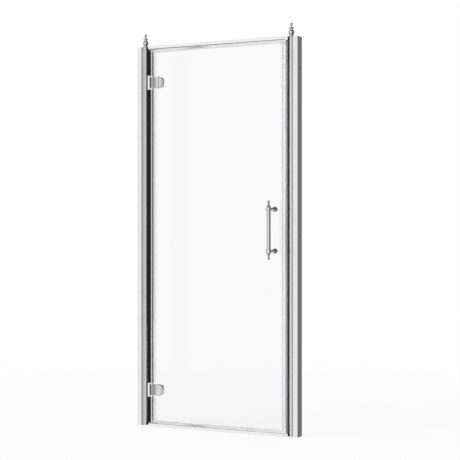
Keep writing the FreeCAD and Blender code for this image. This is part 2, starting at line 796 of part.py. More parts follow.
def glass_holes():
    at_hinges = [(axis_x + s.leaf_disc_place, middle + height)
                 for _, middle in HINGES for height in pair_of_screws(s.leaf_screw_spacing)]
    return at_hinges + [(handle_x, height) for height in handle_heights]


def make_glass():
    glass = body("glass_panel", (0, half_glass, 0))
    pad(glass, "XZ_Plane", s.glass_thick,
        [rectangle(across(1, glass_place), glass_bottom, across(-1, glass_place), glass_top)],
        [(x, z, s.glass_hole_radius) for x, z in glass_holes()])
    node("glass_panel", glass)
    bore = s.bolt_radius + s.loose_fit
    outside = s.glass_hole_radius - s.fixed_fit
    sleeve = turned("sleeve", [(bore, 0), (outside, 0), (outside, s.glass_thick), (bore, s.glass_thick)])
    group("glass_hole_sleeves", copies("glass_hole_sleeve", sleeve, [
        ((x, -half_glass, z), ALONG_Y) for x, z in glass_holes()]))


def clip_outline(side, finish):
    """A clip that grips the glass edge, and finish: the corners of what it carries past the edge."""
    outside = half_glass + s.seal_wall
    grip_end = across(side, glass_place + s.seal_grip)
    edge = across(side, glass_place)
    return [(grip_end, half_glass), (edge, half_glass), (edge, -half_glass), (grip_end, -half_glass),
            (grip_end, -outside)] + finish + [(grip_end, outside)]


def make_hinge_side_seal():
    """Three lengths of one profile, which the two hinges interrupt."""
    outside = half_glass + s.seal_wall
    neck = across(1, glass_place - s.seal_neck)
    tip = across(1, s.pillar_width + s.seal_gap)
    fin = s.seal_fin_thick / 2
    outline = clip_outline(1, [
        (neck, -outside), (neck, -fin), (tip, -fin), (tip, fin), (neck, fin), (neck, outside)])
    clear = s.bracket_height / 2 + s.hinge_seal_gap
    low, high = s.hinge_end_distance, s.post_height - s.hinge_end_distance
    lengths = []
    for name, bottom, top in (("lower", glass_bottom + s.seal_grip + s.seal_gap, low - clear),
                              ("middle", low + clear, high - clear), ("upper", high + clear, glass_top)):
        length = body(f"{name}_hinge_side_seal", (0, 0, bottom))
        pad(length, "XY_Plane", top - bottom, [outline])
        lengths.append(length)
    group("hinge_side_seal", lengths)


def make_strike_side_seal():
    """The closing edge carries a hollow square profile with a magnet strip in it."""
    outside = half_glass + s.seal_wall
    deep = s.magnet_house_depth / 2
    face = s.pillar_width + s.strike_thick + s.seal_gap
    back = face + s.magnet_house_width
    outline = clip_outline(-1, [
        (across(-1, back), -outside), (across(-1, back), -deep), (across(-1, face), -deep),
        (across(-1, face), deep), (across(-1, back), deep), (across(-1, back), outside)])
    low = glass_bottom + s.seal_grip + s.seal_gap
    seal = body("strike_side_seal", (0, 0, low))
    inner = deep - s.seal_wall
    pad(seal, "XY_Plane", glass_top - low, [outline, rectangle(
        across(-1, face + s.seal_wall), -inner, across(-1, back - s.seal_wall), inner)])
    node("strike_side_seal", seal)
    magnet_deep = inner - s.loose_fit
    seat = face + s.seal_wall
    node("door_magnet", block("door_magnet_strip", across(-1, seat), across(-1, seat + s.magnet_width),
                              -magnet_deep, magnet_deep, low, glass_top))


def make_strike_strip():
    """The profile on the right pillar that the door closes against, with its own magnet strip."""
    low = s.sill_height + s.seal_gap
    high = rail_underside - s.seal_gap
    deep = s.strike_depth / 2
    magnet_deep = deep - s.seal_wall - s.loose_fit
    strip = body("strike_strip", (0, 0, low))
    seat = s.pillar_width + (s.strike_thick - s.strike_magnet_thick) / 2
    pad(strip, "XY_Plane", high - low, [
        rectangle(across(-1, s.pillar_width), -deep, across(-1, s.pillar_width + s.strike_thick), deep),
        rectangle(across(-1, seat), -deep + s.seal_wall, across(-1, seat + s.strike_magnet_thick),
                  deep - s.seal_wall)])
    node("strike_strip", strip)
    node("strike_magnet", block("strike_magnet_strip", across(-1, seat),
                                across(-1, seat + s.strike_magnet_thick),
                                -magnet_deep, magnet_deep, low, high))


def make_drip_seal():
    """A clip under the glass with a wiper that ends just above the sill."""
    outside = half_glass + s.seal_wall
    grip_top = glass_bottom + s.seal_grip
    base = glass_bottom - s.drip_base_thick
    tip = s.sill_height + s.seal_gap
    fin = s.seal_fin_thick / 2
    seal = body("drip_seal", (across(1, glass_place), 0, 0))
    pad(seal, "YZ_Plane", s.overall_width - 2 * glass_place, [[
        (-outside, base), (-fin, base), (-fin, tip), (fin, tip), (fin, base), (outside, base),
        (outside, grip_top), (half_glass, grip_top), (half_glass, glass_bottom),
        (-half_glass, glass_bottom), (-half_glass, grip_top), (-outside, grip_top)]])
    node("drip_seal", seal)


# Handle

def make_handle():
    """A turned bar on two standoffs, bolted through the glass to inner roses."""
    bar_end = s.handle_centres / 2 + s.bar_overhang
    node("handle_bar", rod("bar", (handle_x, handle_y, s.handle_height - bar_end), UPRIGHT,
                           s.bar_radius, 2 * bar_end))
    bore = s.bar_radius + s.fixed_fit
    tall = s.collar_height / 2
    edge = s.collar_edge
    collar = turned("collar", [
        (bore, -tall), (s.collar_radius - edge, -tall, edge), (s.collar_radius, edge - tall),
        (s.collar_radius, tall - edge, edge), (s.collar_radius - edge, tall), (bore, tall)])
    group("handle_collars", copies("handle_collar", collar, [
        ((handle_x, handle_y, height), UPRIGHT) for height in handle_heights]))
    neck_meets_ball = s.end_ball_height - root(
        s.end_ball_radius * s.end_ball_radius - s.end_neck_radius * s.end_neck_radius)
    end = turned("bar_end", [
        (0, 0), (s.bar_radius, 0), (s.bar_radius, s.end_foot_height, -s.end_cove_radius),
        (s.end_neck_radius, s.end_neck_height), (s.end_neck_radius, neck_meets_ball, s.end_ball_radius),
        (s.end_ball_radius, s.end_ball_height, s.end_ball_radius),
        (0, s.end_ball_height + s.end_ball_radius)])
    group("handle_ends", copies("handle_end", end, [
        ((handle_x, handle_y, s.handle_height + bar_end), UPRIGHT),
        ((handle_x, handle_y, s.handle_height - bar_end), UPSIDE_DOWN)]))

    rose_front = half_glass + s.washer_thick + s.rose_thick
    reach = s.handle_reach + half_glass - rose_front
    bolt_bore = s.bolt_radius + s.fixed_fit
    thread_end = s.bolt_thread_depth + s.thread_end_gap
    collar_at = reach - s.collar_radius
    bar_at = reach - s.bar_radius
    standoffs = []
    for name, height in zip(("upper", "lower"), handle_heights):
        stock = turned(f"{name}_standoff_turning", [
            (bolt_bore, 0), (s.standoff_flare_radius, 0), (s.standoff_flare_radius, s.standoff_lip),
            (s.standoff_radius, s.standoff_flare), (s.standoff_radius, collar_at - s.standoff_flare),
            (s.standoff_flare_radius, collar_at), (s.standoff_flare_radius, bar_at),
            (0, bar_at), (0, thread_end), (bolt_bore, thread_end)],
            (handle_x, -rose_front, height), AGAINST_Y)
        seat = rod(f"{name}_standoff_seat", (handle_x, handle_y, height - tall), UPRIGHT,
                   s.collar_radius, s.collar_height)
        standoffs.append(cut(f"{name}_standoff", stock, [seat]))
    group("handle_standoffs", standoffs)

    outer = turned("outer_rose", [
        (bolt_bore, 0), (s.rose_radius, 0), (s.rose_radius, s.rose_thick - s.rose_edge, s.rose_edge),
        (s.rose_radius - s.rose_edge, s.rose_thick), (bolt_bore, s.rose_thick)])
    group("handle_outer_roses", copies("handle_outer_rose", outer, [
        ((handle_x, -half_glass - s.washer_thick, height), AGAINST_Y) for height in handle_heights]))
    head_room = s.bolt_head_radius + s.loose_fit
    floor = s.rose_thick - s.bolt_head_thick
    inner = turned("inner_rose", [
        (bolt_bore, 0), (s.rose_radius, 0), (s.rose_radius, s.rose_thick - s.rose_edge, s.rose_edge),
        (s.rose_radius - s.rose_edge, s.rose_thick), (head_room, s.rose_thick), (head_room, floor),
        (bolt_bore, floor)])
    group("handle_inner_roses", copies("handle_inner_rose", inner, [
        ((handle_x, half_glass + s.washer_thick, height), ALONG_Y) for height in handle_heights]))
    washer = turned("washer", [
        (bolt_bore, 0), (s.washer_radius, 0), (s.washer_radius, s.washer_thick), (bolt_bore, s.washer_thick)])
    group("handle_washers", copies("handle_washer", washer, [
        ((handle_x, half_glass * sign, height), ALONG_Y if sign > 0 else AGAINST_Y)
        for height in handle_heights for sign in (1, -1)]))
    seat_y = half_glass + s.washer_thick + floor
    bolt = headed_screw("bolt", s.bolt_radius, s.bolt_head_radius, s.bolt_head_thick,
                        seat_y + rose_front + s.bolt_thread_depth)
    group("handle_bolts", copies("handle_bolt", bolt, [
        ((handle_x, seat_y, height), AGAINST_Y) for height in handle_heights]))


# Assembly

clamp_screw = headed_screw("clamp_screw", s.clamp_radius, s.clamp_head_radius, s.clamp_head_thick,
                           half_depth - tongue_inside + s.loose_fit + s.clamp_nut_thick)
half_nut = s.clamp_nut_width / 2
clamp_nut = body("clamp_nut")
pad(clamp_nut, "XY_Plane", s.clamp_nut_thick, [rectangle(-half_nut, -half_nut, half_nut, half_nut)],
    [(0, 0, s.clamp_radius + s.fixed_fit)])
rail_screw = headed_screw("rail_screw_turning", s.rail_screw_radius, s.rail_screw_head_radius,
                          s.rail_screw_head_thick, s.pillar_wall + s.rail_screw_length)

for name, side in SIDES:
    make_wall_channel(name, side)
    make_clamps(name, side, clamp_screw, clamp_nut)
    make_pillar(name, side)
    make_pillar_cap(f"{name}_top_cap", side, foot=False)
    make_pillar_cap(f"{name}_foot_cap", side, foot=True)
    make_finial(name, side)
make_finial_studs()
make_rails()
make_rail_fixings(rail_screw)
make_hinges()
make_glass()
make_hinge_side_seal()
make_strike_side_seal()
make_strike_strip()
make_drip_seal()
make_handle()
doc.recompute()

faults = [item.Label for item in doc.Objects if {"Invalid", "Error"} & set(item.State)]
faults += [piece.Label for piece in nodes if piece.Shape.isNull() or not piece.Shape.isValid()]
if faults:
    raise RuntimeError(f"failed objects: {faults}")

os.makedirs("parts", exist_ok=True)
for piece in nodes:
    piece.Shape.exportStep(f"parts/{piece.Label}.step")
    print(f"{piece.Label}: {len(piece.Shape.Solids)} solid(s), {piece.Shape.Volume / 1000:.2f} cm3")
print(f"{len(nodes)} sub-parts")
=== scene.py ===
import json
import math

import bmesh
import bpy
from mathutils import Matrix, Vector


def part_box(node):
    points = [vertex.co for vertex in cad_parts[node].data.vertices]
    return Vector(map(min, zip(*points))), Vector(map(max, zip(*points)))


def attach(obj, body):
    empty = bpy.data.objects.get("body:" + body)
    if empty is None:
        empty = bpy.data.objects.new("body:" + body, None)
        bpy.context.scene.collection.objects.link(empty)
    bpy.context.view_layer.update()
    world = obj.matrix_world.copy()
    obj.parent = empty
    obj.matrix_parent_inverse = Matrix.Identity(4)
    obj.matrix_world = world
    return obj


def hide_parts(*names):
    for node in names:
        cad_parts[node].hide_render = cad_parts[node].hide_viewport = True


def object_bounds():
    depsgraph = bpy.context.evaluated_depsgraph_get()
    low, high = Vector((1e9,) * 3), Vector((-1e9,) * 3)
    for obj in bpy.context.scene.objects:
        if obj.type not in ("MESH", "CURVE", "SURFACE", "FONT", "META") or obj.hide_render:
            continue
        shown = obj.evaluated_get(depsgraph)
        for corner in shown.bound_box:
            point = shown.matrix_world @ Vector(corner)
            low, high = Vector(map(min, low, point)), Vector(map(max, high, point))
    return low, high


mm = 0.001
weld = 1e-6          # points nearer than this are one
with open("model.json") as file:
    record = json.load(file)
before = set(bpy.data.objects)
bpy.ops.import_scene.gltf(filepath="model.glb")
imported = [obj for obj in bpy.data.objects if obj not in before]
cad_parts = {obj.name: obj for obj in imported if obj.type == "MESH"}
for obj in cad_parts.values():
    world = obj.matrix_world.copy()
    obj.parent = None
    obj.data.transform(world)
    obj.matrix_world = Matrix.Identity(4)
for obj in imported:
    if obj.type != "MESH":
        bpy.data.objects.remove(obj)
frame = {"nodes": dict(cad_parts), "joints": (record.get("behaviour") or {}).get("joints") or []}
cadLow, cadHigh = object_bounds()
print("frame loaded")

# The camera stands to the right of the door, level, at about half its height.
photoCamera = {
    "place": (3.055, -5.686, 0.981),
    "turn": 27.7,
    "lens": 103.15,
    "sensor": 36,
}


def makeCamera():
    view = bpy.data.cameras.new("photoCamera")
    view.lens = photoCamera["lens"]
    view.sensor_width = photoCamera["sensor"]
    camera = bpy.data.objects.new("photoCamera", view)
    bpy.context.scene.collection.objects.link(camera)
    camera.location = photoCamera["place"]
    camera.rotation_euler = (math.radians(90), 0, math.radians(photoCamera["turn"]))
    bpy.context.scene.camera = camera
    bpy.context.scene.view_settings.view_transform = "Standard"


# A socket that maths can be written with: each operator adds a Math node.
class Value:
    def __init__(self, tree, socket):
        self.tree = tree
        self.socket = socket

    def math(self, operation, *others):
        return self.tree.add("ShaderNodeMath", {"operation": operation}, dict(enumerate(others)))["Value"]

    def __add__(self, other):
        return self.math("ADD", self, other)

    def __sub__(self, other):
        return self.math("SUBTRACT", self, other)

    def __rsub__(self, other):
        return self.math("SUBTRACT", other, self)

    def __mul__(self, other):
        return self.math("MULTIPLY", self, other)

    def __truediv__(self, other):
        return self.math("DIVIDE", self, other)

    def __rtruediv__(self, other):
        return self.math("DIVIDE", other, self)

    def __abs__(self):
        return self.math("ABSOLUTE", self)

    def clamped(self):
        return self.math("MAXIMUM", self.math("MINIMUM", self, 1), 0)

    __radd__ = __add__
    __rmul__ = __mul__


class Outputs:
    def __init__(self, tree, node):
        self.tree = tree
        self.node = node

    def __getitem__(self, name):
        return Value(self.tree, self.node.outputs[name])


# A node tree that nodes are added to by one method.
class Tree:
    def __init__(self, holder):
        holder.use_nodes = True
        self.nodes = holder.node_tree.nodes
        self.links = holder.node_tree.links
        self.nodes.clear()

    def add(self, kind, settings=None, inputs=None):
        node = self.nodes.new(kind)
        for name, setting in (settings or {}).items():
            if name == "stops":
                ramp = node.color_ramp
                while len(ramp.elements) < len(setting):
                    ramp.elements.new(1)
                for element, (position, grey) in zip(ramp.elements, setting):
                    element.position = position
                    element.color = (grey, grey, grey, 1)
            else:
                setattr(node, name, setting)
        for name, value in (inputs or {}).items():
            if isinstance(value, Value):
                self.links.new(value.socket, node.inputs[name])
            else:
                node.inputs[name].default_value = value
        return Outputs(self, node)

    def mixed(self, factor, first, second):
        return self.add("ShaderNodeMix", {"data_type": "RGBA"}, {0: factor, 6: first, 7: second})[2]

    def objectPlace(self, scale=(1, 1, 1)):
        coordinates = self.add("ShaderNodeTexCoord")["Object"]
        return self.add("ShaderNodeMapping", inputs={"Vector": coordinates, "Scale": scale})["Vector"]

    def noise(self, place, scale, detail=3, roughness=0.5):
        return self.add("ShaderNodeTexNoise", inputs={
            "Vector": place, "Scale": scale, "Detail": detail, "Roughness": roughness})["Fac"]

    def bump(self, height, strength, distance):
        return self.add("ShaderNodeBump", inputs={
            "Height": height, "Strength": strength, "Distance": distance})["Normal"]


def newFinish(name, constants, build=None):
    material = bpy.data.materials.new(name)
    tree = Tree(material)
    shader = tree.add("ShaderNodeBsdfPrincipled", inputs=constants)
    tree.add("ShaderNodeOutputMaterial", inputs={"Surface": shader["BSDF"]})
    for socket, value in (build(tree) if build else {}).items():
        tree.links.new(value.socket, shader.node.inputs[socket])
    return material


# Where a pattern rises above its share of the surface, as patches from 0 to 1.
def patches(pattern, share, sharpness):
    return ((pattern - share) * sharpness).clamped()


# Chrome on extruded metal: faint draw lines along the length, and a little haze from hands and water.
chromeLook = {"tint": (0.80, 0.80, 0.805, 1), "smudged": (0.765, 0.765, 0.775, 1),
              "railTint": (0.87, 0.87, 0.875, 1), "railSmudged": (0.83, 0.83, 0.84, 1),
              "upLines": (900, 900, 2.5), "acrossLines": (2.5, 900, 900), "smudgeScale": 9,
              "smudgeShare": 0.5, "smudgeSharpness": 3, "gloss": 0.055, "haze": 0.05, "lineHaze": 0.02,
              "relief": (0.05, 0.02 * mm)}


def chromeFinish(name, lines, tint, smudged):
    def build(tree):
        streaks = tree.noise(tree.objectPlace(lines), 1, detail=2)
        smudges = tree.noise(tree.objectPlace(), chromeLook["smudgeScale"], detail=5, roughness=0.6)
        dull = patches(smudges, chromeLook["smudgeShare"], chromeLook["smudgeSharpness"])
        return {
            "Base Color": tree.mixed(dull, tint, smudged),
            "Roughness": dull * chromeLook["haze"] + streaks * chromeLook["lineHaze"] + chromeLook["gloss"],
            "Normal": tree.bump(streaks, *chromeLook["relief"])}
    return newFinish(name, {"Metallic": 1}, build)


# Chrome on turned brass: deeper and cleaner. Two darker copies of it paint shade into the reflections: a
# greyer one for the hinge leaves, a dark one for the handle's small turned parts.
brassLook = {"tint": (0.83, 0.83, 0.84, 1), "smudged": (0.79, 0.79, 0.80, 1),
             "softTint": (0.66, 0.66, 0.67, 1), "softSmudged": (0.60, 0.60, 0.61, 1),
             "darkTint": (0.40, 0.40, 0.41, 1), "darkSmudged": (0.46, 0.46, 0.47, 1), "smudgeScale": 60,
             "smudgeShare": 0.52, "smudgeSharpness": 4, "gloss": 0.03, "haze": 0.05,
             "relief": (0.03, 0.02 * mm)}


def polishedFinish(name, tint, smudged):
    def build(tree):
        smudges = tree.noise(tree.objectPlace(), brassLook["smudgeScale"], detail=4, roughness=0.6)
        dull = patches(smudges, brassLook["smudgeShare"], brassLook["smudgeSharpness"])
        return {
            "Base Color": tree.mixed(dull, tint, smudged),
            "Roughness": dull * brassLook["haze"] + brassLook["gloss"],
            "Normal": tree.bump(smudges, *brassLook["relief"])}
    return newFinish(name, {"Metallic": 1}, build)


# Clear float glass: a trace of grey-green in it, with dried water marks that only show as a change of gloss.
glassLook = {"tint": (0.945, 0.947, 0.946, 1), "marked": (0.925, 0.928, 0.927, 1), "ior": 1.5,
             "runs": (26, 1, 1.6), "runShare": 0.56, "runSharpness": 5, "spotScale": 130, "spotShare": 0.55,
             "spotSharpness": 8, "haze": 0.12}


def glassFinish():
    def build(tree):
        runs = tree.noise(tree.objectPlace(glassLook["runs"]), 1, detail=4, roughness=0.62)
        spots = tree.noise(tree.objectPlace(), glassLook["spotScale"], detail=2)
        marks = (patches(runs, glassLook["runShare"], glassLook["runSharpness"])
                 * patches(spots, glassLook["spotShare"], glassLook["spotSharpness"]))
        return {
            "Base Color": tree.mixed(marks, glassLook["tint"], glassLook["marked"]),
            "Roughness": marks * glassLook["haze"]}
    return newFinish("clearGlass", {"Transmission Weight": 1, "IOR": glassLook["ior"]}, build)


# The plainer finishes. Tone and grain are each a noise, given by its stretch, scale and detail. The tone
# wanders between two colours, one of the two sets the roughness (a span and a least value), and the grain
# raises a small relief (strength and height).
even = (1, 1, 1)
steelLook = {"colours": ((0.55, 0.55, 0.56, 1), (0.68, 0.68, 0.69, 1)), "tone": (even, 700, 3),
             "grain": (even, 700, 3), "roughBy": "grain", "rough": (0.15, 0.22), "relief": (0.15, 0.03 * mm),
             "constants": {"Metallic": 1}}
clearSealLook = {"colours": ((0.955, 0.955, 0.965, 1), (0.985, 0.985, 0.99, 1)), "tone": (even, 14, 4),
                 "grain": ((60, 60, 1.5), 1, 2), "roughBy": "tone", "rough": (0.08, 0.05),
                 "relief": (0.03, 0.05 * mm), "constants": {"Transmission Weight": 0.98, "IOR": 1.16},
                 "alpha": 0.4, "thinAlpha": 0.08}
milkySealLook = {"colours": ((0.80, 0.80, 0.84, 1), (0.90, 0.90, 0.93, 1)), "tone": (even, 14, 4),
                 "grain": ((60, 60, 1.5), 1, 2), "roughBy": "tone", "rough": (0.1, 0.2),
                 "relief": (0.1, 0.05 * mm), "constants": {"Transmission Weight": 0.3, "IOR": 1.3}}
greyRubberLook = {"colours": ((0.62, 0.62, 0.63, 1), (0.74, 0.74, 0.75, 1)), "tone": (even, 9, 5),
                  "grain": (even, 1400, 2), "roughBy": "grain", "rough": (0.2, 0.4),
                  "relief": (0.2, 0.03 * mm), "constants": {"Transmission Weight": 0.25, "IOR": 1.45}}
# Near-black: painted shade for the strip laid in the pillars' groove.
grooveShadeLook = {"colours": ((0.012, 0.012, 0.012, 1), (0.03, 0.03, 0.03, 1)), "tone": (even, 12, 5),
                   "grain": ((400, 400, 4), 1, 3), "roughBy": "grain", "rough": (0.2, 0.5),
                   "relief": (0.2, 0.05 * mm), "constants": {"Specular IOR Level": 0.2}}
magnetLook = {"colours": ((0.66, 0.66, 0.69, 1), (0.76, 0.76, 0.79, 1)), "tone": ((500, 500, 60), 1, 3),
              "grain": ((500, 500, 60), 1, 3), "roughBy": "grain", "rough": (0.2, 0.5),
              "constants": {"Specular IOR Level": 0.35}}
nylonLook = {"colours": ((0.70, 0.70, 0.685, 1), (0.78, 0.78, 0.765, 1)), "tone": (even, 40, 3),
             "grain": (even, 1600, 2), "roughBy": "grain", "rough": (0.15, 0.38), "relief": (0.2, 0.04 * mm),
             "constants": {"Subsurface Weight": 0.05}}


def plainFinish(name, look, alpha=1):
    def build(tree):
        patterns = {}
        for part in ("tone", "grain"):
            stretch, scale, detail = look[part]
            patterns[part] = tree.noise(tree.objectPlace(stretch), scale, detail=detail)
        span, least = look["rough"]
        feeds = {"Base Color": tree.mixed(patterns["tone"], *look["colours"]),
                 "Roughness": patterns[look["roughBy"]] * span + least}
        if "relief" in look:
            feeds["Normal"] = tree.bump(patterns["grain"], *look["relief"])
        return feeds
    return newFinish(name, {**look["constants"], "Alpha": alpha}, build)


upChrome = chromeFinish("drawnChromeUpright", chromeLook["upLines"], chromeLook["tint"],
                        chromeLook["smudged"])
# The rails' copy has its draw lines across, and a lighter tint that is painted light.
acrossChrome = chromeFinish("drawnChromeAcross", chromeLook["acrossLines"], chromeLook["railTint"],
                            chromeLook["railSmudged"])
finishes = {
    "chromed_aluminium": upChrome,
    "chromed_brass": polishedFinish("polishedChrome", brassLook["tint"], brassLook["smudged"]),
    "stainless_steel": plainFinish("stainlessSteel", steelLook),
    "clear_glass": glassFinish(),
    "clear_pvc": plainFinish("clearSeal", clearSealLook, clearSealLook["alpha"]),
    "grey_rubber": plainFinish("paleGreyRubber", greyRubberLook),
    "magnet_strip": plainFinish("magnetStrip", magnetLook),
    "nylon": plainFinish("mouldedNylon", nylonLook),
}
# The groove strip's finish: its near-black colour is painted shade.
blackRubber = plainFinish("blackRubber", grooveShadeLook)
# Darker copies of the turned chrome: painted shade on the hinge leaves and on the handle's ends, standoffs
# and outer roses.
softChrome = polishedFinish("softChrome", brassLook["softTint"], brassLook["softSmudged"])
darkChrome = polishedFinish("darkChrome", brassLook["darkTint"], brassLook["darkSmudged"])
for cadNode in frame["nodes"].values():
    for holder in cadNode.material_slots:
        holder.material = finishes[holder.material.name.split(".")[0]]
thinSeal = plainFinish("thinClearSeal", clearSealLook, clearSealLook["thinAlpha"])
for which in ("top_stop_seal", "bottom_stop_seal", "drip_seal"):      # these look clearer than the others
    frame["nodes"][which].material_slots[0].material = thinSeal
frame["nodes"]["strike_strip"].material_slots[0].material = plainFinish("milkySeal", milkySealLook)
print("finishes made")


# How finely round shapes are cut: sides of a hole and of turned solids, and degrees for each side of an arc.
# Edges past the softenedFrom angle (degrees) are softened, and those past sharpFrom are shaded sharp.
fineness = {"hole": 32, "turn": 56, "finial": 64, "pin": 32, "arc": 5, "smallArc": 10, "smallRadius": 9 * mm,
            "softenedFrom": 35, "sharpFrom": 32}

# Turns that stand a flat drawing (its own X and Y, raised along its own Z) up in the door's frame.
facingFront = Matrix.Rotation(math.radians(90), 4, "X")            # X across, Y up, raised towards the front
facingBack = Matrix(((1, 0, 0, 0), (0, 0, 1, 0), (0, -1, 0, 0), (0, 0, 0, 1)))
endOn = Matrix(((0, 0, 1, 0), (1, 0, 0, 0), (0, 1, 0, 0), (0, 0, 0, 1)))   # X to the back, raised across


def at(x, y, z):
    return Matrix.Translation((x, y, z))


def middleOf(node):
    low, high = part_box(node)
    return (low + high) / 2


def isPoint(item):
    return isinstance(item, bmesh.types.BMVert)


# Lines through the corners, with an arc after each corner that has a radius: left-hand if it is positive.
def drawWire(mesh, corners, closed=True):
    last = mesh.verts.new((corners[0][0], corners[0][1], 0))
    ways = list(zip(corners, corners[1:] + corners[:1]))
    for here, there in ways if closed else ways[:-1]:
        start, end = Vector((here[0], here[1], 0)), Vector((there[0], there[1], 0))
        if len(here) > 2:
            half = (end - start) / 2
            radius = abs(here[2])
            bend = math.copysign(2 * math.asin(min(half.length / radius, 1)), here[2])
            rise = math.copysign(math.sqrt(max(radius ** 2 - half.length ** 2, 0)), here[2])
            centre = start + half + Vector((-half.y, half.x, 0)).normalized() * rise
            step = math.radians(fineness["arc" if radius > fineness["smallRadius"] else "smallArc"])
            spun = bmesh.ops.spin(mesh, geom=[last], cent=centre, axis=(0, 0, 1), angle=bend,
                                  steps=max(2, math.ceil(abs(bend) / step)))
            last = next(item for item in spun["geom_last"] if isPoint(item))
        else:
            new = mesh.verts.new(end)
            mesh.edges.new((last, new))
            last = new
    bmesh.ops.remove_doubles(mesh, verts=mesh.verts[:], dist=weld)


def raise3d(mesh, height):
    raised = bmesh.ops.extrude_face_region(mesh, geom=mesh.faces[:])["geom"]
    bmesh.ops.translate(mesh, verts=[item for item in raised if isPoint(item)], vec=(0, 0, height))
    bmesh.ops.recalc_face_normals(mesh, faces=mesh.faces[:])


def extruded(corners, height, holes=()):
    mesh = bmesh.new()
    drawWire(mesh, corners)
    for x, y, radius in holes:
        bmesh.ops.create_circle(mesh, segments=fineness["hole"], radius=radius, matrix=at(x, y, 0))
    if holes:
        bmesh.ops.triangle_fill(mesh, edges=mesh.edges[:], use_beauty=True)
    else:
        bmesh.ops.contextual_create(mesh, geom=mesh.edges[:])
    raise3d(mesh, height)
    return mesh


# A solid turned about its own Z: corners are (radius, height).
def turned(corners, closed=False, steps=fineness["turn"]):
    mesh = bmesh.new()
    drawWire(mesh, corners, closed)
    bmesh.ops.transform(mesh, matrix=facingFront, verts=mesh.verts[:])
    bmesh.ops.spin(mesh, geom=mesh.verts[:] + mesh.edges[:], cent=(0, 0, 0), axis=(0, 0, 1),
                   angle=math.radians(360), steps=steps, use_merge=True)
    bmesh.ops.remove_doubles(mesh, verts=mesh.verts[:], dist=weld)
    bmesh.ops.recalc_face_normals(mesh, faces=mesh.faces[:])
    return mesh


def soften(mesh, width, segments=2, chosen=lambda edge: True):
    edges = [edge for edge in mesh.edges if len(edge.link_faces) == 2
             and edge.calc_face_angle() > math.radians(fineness["softenedFrom"]) and chosen(edge)]
    bmesh.ops.bevel(mesh, geom=edges, offset=width, offset_type="OFFSET", segments=segments, profile=0.5,
                    affect="EDGES", material=-1, clamp_overlap=True)
    return mesh


# Copies a finished solid into the piece, once for each place, and lets it go.
def put(piece, solid, *places):
    scratch = bpy.data.meshes.new("scratch")
    solid.to_mesh(scratch)
    solid.free()
    for place in places:
        before = len(piece.verts)
        piece.from_mesh(scratch)
        piece.verts.ensure_lookup_table()
        bmesh.ops.transform(piece, matrix=place, verts=piece.verts[before:])
    bpy.data.meshes.remove(scratch)


def newObject(name, mesh, finish):
    data = bpy.data.meshes.new(name)
    mesh.to_mesh(data)
    mesh.free()
    data.materials.append(finish)
    made = bpy.data.objects.new(name, data)
    bpy.context.scene.collection.objects.link(made)
    return made


def showPiece(name, mesh, body, slot, nodes, finish=None):
    bmesh.ops.recalc_face_normals(mesh, faces=mesh.faces[:])
    for face in mesh.faces:
        face.smooth = True
    piece = newObject(name, mesh, finish or finishes[slot])
    piece.data.set_sharp_from_angle(angle=math.radians(fineness["sharpFrom"]))
    shading = piece.modifiers.new("evenShading", "WEIGHTED_NORMAL")
    shading.keep_sharp = True
    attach(piece, body)
    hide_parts(*nodes)


sides = {"left": 1, "right": -1}
halfWidth = cadHigh.x
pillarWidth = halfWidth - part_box("top_rail")[1].x


def fromWall(side):
    return at(-sides[side] * halfWidth, 0, 0) @ Matrix.Diagonal((sides[side], 1, 1, 1))


# The pillars, drawn from the wall inwards: an open tongue, a slope up to a round column, a groove with a
# near-black strip in it that paints the groove's shade, and a narrow lip beside the door.
pillarSizes = {"tonguePlace": 3 * mm, "halfDepth": 22.5 * mm, "wall": 2 * mm, "webPlace": 22 * mm,
               "slopePlace": 23.4 * mm, "slope": 32, "columnRadius": 9.4 * mm, "grooveFloor": 7 * mm,
               "lipPlace": 63 * mm, "lipFront": 2 * mm, "gasketFront": 3 * mm, "gasketGap": 0.1 * mm,
               "gasketEdge": 0.5 * mm, "capThick": 3 * mm, "capEdge": 0.7 * mm, "plugDeep": 8 * mm,
               "plug": ((26 * mm, 9 * mm), (60 * mm, 20 * mm))}
columnPlace = middleOf("left_finial").x + halfWidth
columnFront = middleOf("left_finial").y


def pillarFront():
    sizes = pillarSizes
    half, radius = sizes["halfDepth"], sizes["columnRadius"]
    lean = math.radians(sizes["slope"])
    touchX, touchY = columnPlace - radius * math.sin(lean), columnFront - radius * math.cos(lean)
    slopeLow = touchY + (touchX - sizes["slopePlace"]) * math.tan(lean)
    return [(sizes["tonguePlace"], -half), (sizes["slopePlace"], -half), (sizes["slopePlace"], slopeLow),
            (touchX, touchY, radius), (columnPlace + radius, columnFront),
            (columnPlace + radius, sizes["grooveFloor"]), (sizes["lipPlace"], sizes["grooveFloor"]),
            (sizes["lipPlace"], sizes["lipFront"]), (pillarWidth, sizes["lipFront"]), (pillarWidth, half),
            (sizes["tonguePlace"], half)]


def rectangle(start, end):
    return [start, (end[0], start[1]), end, (start[0], end[1])]


